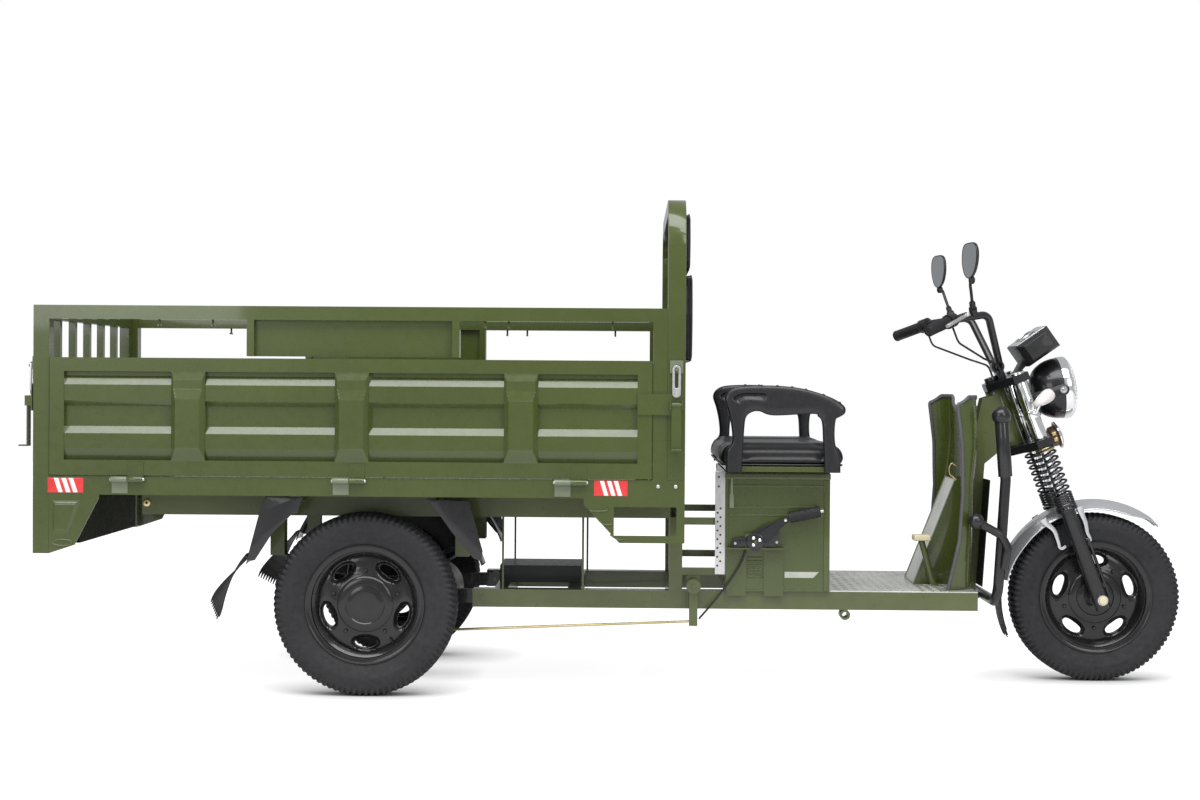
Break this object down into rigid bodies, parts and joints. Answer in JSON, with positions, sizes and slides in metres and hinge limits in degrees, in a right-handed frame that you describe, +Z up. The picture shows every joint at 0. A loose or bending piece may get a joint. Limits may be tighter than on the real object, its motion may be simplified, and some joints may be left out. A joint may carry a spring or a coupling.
{
  "type": "cargo tricycle",
  "caption": "Electric cargo tricycle: olive green steel frame, open cargo bed with drop sides and tailgate, bench seat with armrests, leg shield and sprung front fork.",
  "frame": {"origin": "on the ground under the middle of the overall length, in the plane of symmetry", "axes": "+X forward, +Y to the rider's left, +Z up"},
  "size_m": [3.325, 1.087, 1.39],
  "materials": {
    "olive_paint": "gloss olive green paint",
    "frame_paint": "semi gloss olive green paint, dusty",
    "black_paint": "satin black enamel",
    "fender_paint": "silver paint",
    "chrome": "polished",
    "zinc_steel": "zinc plated",
    "chequer_plate": "embossed tread plate",
    "brass_rod": "yellow passivated",
    "cast_alloy": "sand cast",
    "spring_steel": "black oxide",
    "tyre_rubber": "treaded",
    "flap_rubber": "moulded",
    "grip_rubber": "ribbed",
    "seat_vinyl": "black vinyl",
    "armrest_plastic": "moulded black",
    "black_plastic": "moulded",
    "clear_lens": "fluted",
    "red_lens": "red lamp lens",
    "battery_case": "moulded"
  },
  "bodies": {
    "chassis": {"chassis_frame": "frame_paint", "bed_frame": "olive_paint", "bed_floor": "olive_paint", "bulkhead_hoop": "olive_paint", "backrest_pads": "seat_vinyl", "side_fences": "olive_paint", "hinges_and_catches": "zinc_steel", "leaf_springs": "spring_steel", "rear_mudguards": "black_paint", "tail_lamps": "olive_paint", "seat_box": "frame_paint", "battery_pack": "battery_case", "motor_controller": "cast_alloy", "footboard": "chequer_plate", "leg_shield": "olive_paint", "splash_guard": "olive_paint", "crash_guard": "black_paint", "hand_brake_bracket": "black_paint", "hand_brake_cable": "black_plastic"},
    "steering": {"fork_yokes": "black_paint", "fork_tubes": "chrome", "fork_springs": "spring_steel", "handlebar": "black_paint", "handlebar_controls": "black_plastic", "headlamp_shell": "chrome", "headlamp_lens": "clear_lens", "turn_signals": "chrome", "horn": "zinc_steel", "dash_housing": "black_plastic"},
    "mirror_right": {"mirror_right": "black_plastic"},
    "mirror_left": {"mirror_left": "black_plastic"},
    "throttle_grip": {"throttle_grip": "grip_rubber"},
    "front_brake_lever": {"front_brake_lever": "cast_alloy"},
    "fork_lower": {"fork_sliders": "black_paint", "front_axle": "zinc_steel", "front_fender": "fender_paint", "front_mudflap": "flap_rubber"},
    "front_wheel": {"front_rim": "black_paint", "front_tyre": "tyre_rubber"},
    "rear_axle": {"rear_axle_housing": "black_paint", "drive_motor": "cast_alloy"},
    "rear_wheel_right": {"rear_rim_right": "black_paint", "rear_tyre_right": "tyre_rubber"},
    "rear_wheel_left": {"rear_rim_left": "black_paint", "rear_tyre_left": "tyre_rubber"},
    "side_board_right": {"side_board_right": "olive_paint"},
    "side_board_left": {"side_board_left": "olive_paint"},
    "tailgate": {"tailgate": "olive_paint"},
    "latch_lever_side_right": {"latch_lever_side_right": "olive_paint"},
    "latch_lever_side_left": {"latch_lever_side_left": "olive_paint"},
    "latch_lever_gate_right": {"latch_lever_gate_right": "olive_paint"},
    "latch_lever_gate_left": {"latch_lever_gate_left": "olive_paint"},
    "seat_lid": {"seat_lid": "frame_paint", "seat_cushion": "seat_vinyl", "armrests": "armrest_plastic"},
    "hand_brake_lever": {"hand_brake_lever": "black_plastic"},
    "hand_brake_button": {"hand_brake_button": "chrome"},
    "brake_crank": {"brake_crank": "black_paint"},
    "brake_rod": {"brake_rod": "brass_rod"},
    "brake_pedal": {"brake_pedal": "black_paint"}
  },
  "joints": [
    {"name": "steering", "type": "hinge", "parent": "chassis", "child": "steering", "pos_m": [1.14342, 0, 0.78835], "axis": [-0.3535, 0, 0.9354], "range_deg": [-40, 40]},
    {"name": "fork_travel", "type": "slide", "parent": "steering", "child": "fork_lower", "axis": [-0.3535, 0, 0.9354], "range_m": [0, 0.07], "stiffness_N_per_m": 16000, "springref_m": -0.08, "deforming": ["fork_springs"]},
    {"name": "front_wheel_spin", "type": "hinge", "parent": "fork_lower", "child": "front_wheel", "pos_m": [1.4135, 0, 0.249], "axis": [0, 1, 0], "continuous": true},
    {"name": "rear_axle_swing", "type": "hinge", "parent": "chassis", "child": "rear_axle", "pos_m": [-0.391, 0, 0.262], "axis": [0, 1, 0], "range_deg": [0, 7], "stiffness_Nm_per_rad": 9000, "springref_deg": -6.88, "deforming": ["leaf_springs"]},
    {"name": "rear_wheel_right_spin", "type": "hinge", "parent": "rear_axle", "child": "rear_wheel_right", "pos_m": [-0.7095, -0.4, 0.2555], "axis": [0, 1, 0], "continuous": true},
    {"name": "rear_wheel_left_spin", "type": "hinge", "parent": "rear_axle", "child": "rear_wheel_left", "pos_m": [-0.7095, 0.4, 0.2555], "axis": [0, 1, 0], "continuous": true},
    {"name": "side_board_right_drop", "type": "hinge", "parent": "chassis", "child": "side_board_right", "pos_m": [-0.7, -0.51, 0.603], "axis": [1, 0, 0], "range_deg": [0, 160]},
    {"name": "side_board_left_drop", "type": "hinge", "parent": "chassis", "child": "side_board_left", "pos_m": [-0.7, 0.51, 0.603], "axis": [-1, 0, 0], "range_deg": [0, 160]},
    {"name": "tailgate_drop", "type": "hinge", "parent": "chassis", "child": "tailgate", "pos_m": [-1.629, 0, 0.603], "axis": [0, -1, 0], "range_deg": [0, 160]},
    {"name": "latch_side_right", "type": "hinge", "parent": "side_board_right", "child": "latch_lever_side_right", "pos_m": [0.15225, -0.519, 0.818], "axis": [-1, 0, 0], "range_deg": [0, 150]},
    {"name": "latch_side_left", "type": "hinge", "parent": "side_board_left", "child": "latch_lever_side_left", "pos_m": [0.15225, 0.519, 0.818], "axis": [1, 0, 0], "range_deg": [0, 150]},
    {"name": "latch_gate_right", "type": "hinge", "parent": "tailgate", "child": "latch_lever_gate_right", "pos_m": [-1.638, -0.478, 0.818], "axis": [0, 1, 0], "range_deg": [0, 150]},
    {"name": "latch_gate_left", "type": "hinge", "parent": "tailgate", "child": "latch_lever_gate_left", "pos_m": [-1.638, 0.478, 0.818], "axis": [0, 1, 0], "range_deg": [0, 150]},
    {"name": "seat_lid_lift", "type": "hinge", "parent": "chassis", "child": "seat_lid", "pos_m": [0.602, 0, 0.628], "axis": [0, 1, 0], "range_deg": [0, 55]},
    {"name": "hand_brake_pull", "type": "hinge", "parent": "chassis", "child": "hand_brake_lever", "pos_m": [0.382, -0.34, 0.4315], "axis": [0, -1, 0], "range_deg": [0, 30], "deforming": ["hand_brake_cable"]},
    {"name": "hand_brake_release", "type": "slide", "parent": "hand_brake_lever", "child": "hand_brake_button", "axis": [-0.9798, 0, -0.2], "range_m": [0, 0.006], "stiffness_N_per_m": 300, "springref_m": -0.004},
    {"name": "brake_crank_swing", "type": "hinge", "parent": "chassis", "child": "brake_crank", "pos_m": [0.208, -0.331, 0.304], "axis": [0, -1, 0], "range_deg": [0, 12]},
    {"name": "brake_rod_swing", "type": "hinge", "parent": "brake_crank", "child": "brake_rod", "pos_m": [0.208, -0.323, 0.203], "axis": [0, -1, 0], "range_deg": [-12, 0]},
    {"name": "brake_pedal_press", "type": "hinge", "parent": "chassis", "child": "brake_pedal", "pos_m": [0.945, -0.12, 0.262], "axis": [0, 1, 0], "range_deg": [0, 12], "stiffness_Nm_per_rad": 12, "springref_deg": -11.46},
    {"name": "throttle_twist", "type": "hinge", "parent": "steering", "child": "throttle_grip", "pos_m": [0.95674, -0.22, 1.06738], "axis": [-0.6149, -0.7465, -0.2541], "range_deg": [0, 70], "stiffness_Nm_per_rad": 0.6, "springref_deg": -17.19},
    {"name": "front_brake_squeeze", "type": "hinge", "parent": "steering", "child": "front_brake_lever", "pos_m": [0.9848, -0.268, 1.07798], "axis": [0.3535, 0, -0.9354], "range_deg": [0, 11], "stiffness_Nm_per_rad": 3, "springref_deg": -14.32},
    {"name": "mirror_right_turn", "type": "hinge", "parent": "steering", "child": "mirror_right", "pos_m": [1.01341, -0.19642, 1.1002], "axis": [-0.1914, -0.5626, 0.8043], "range_deg": [-30, 30]},
    {"name": "mirror_left_turn", "type": "hinge", "parent": "steering", "child": "mirror_left", "pos_m": [1.01341, 0.19642, 1.1002], "axis": [-0.1914, 0.5626, 0.8043], "range_deg": [-30, 30]}
  ],
  "couplings": [
    {"joint": "brake_crank_swing", "follows": "hand_brake_pull", "ratio": 0.4},
    {"joint": "brake_rod_swing", "follows": "hand_brake_pull", "ratio": -0.4}
  ]
}
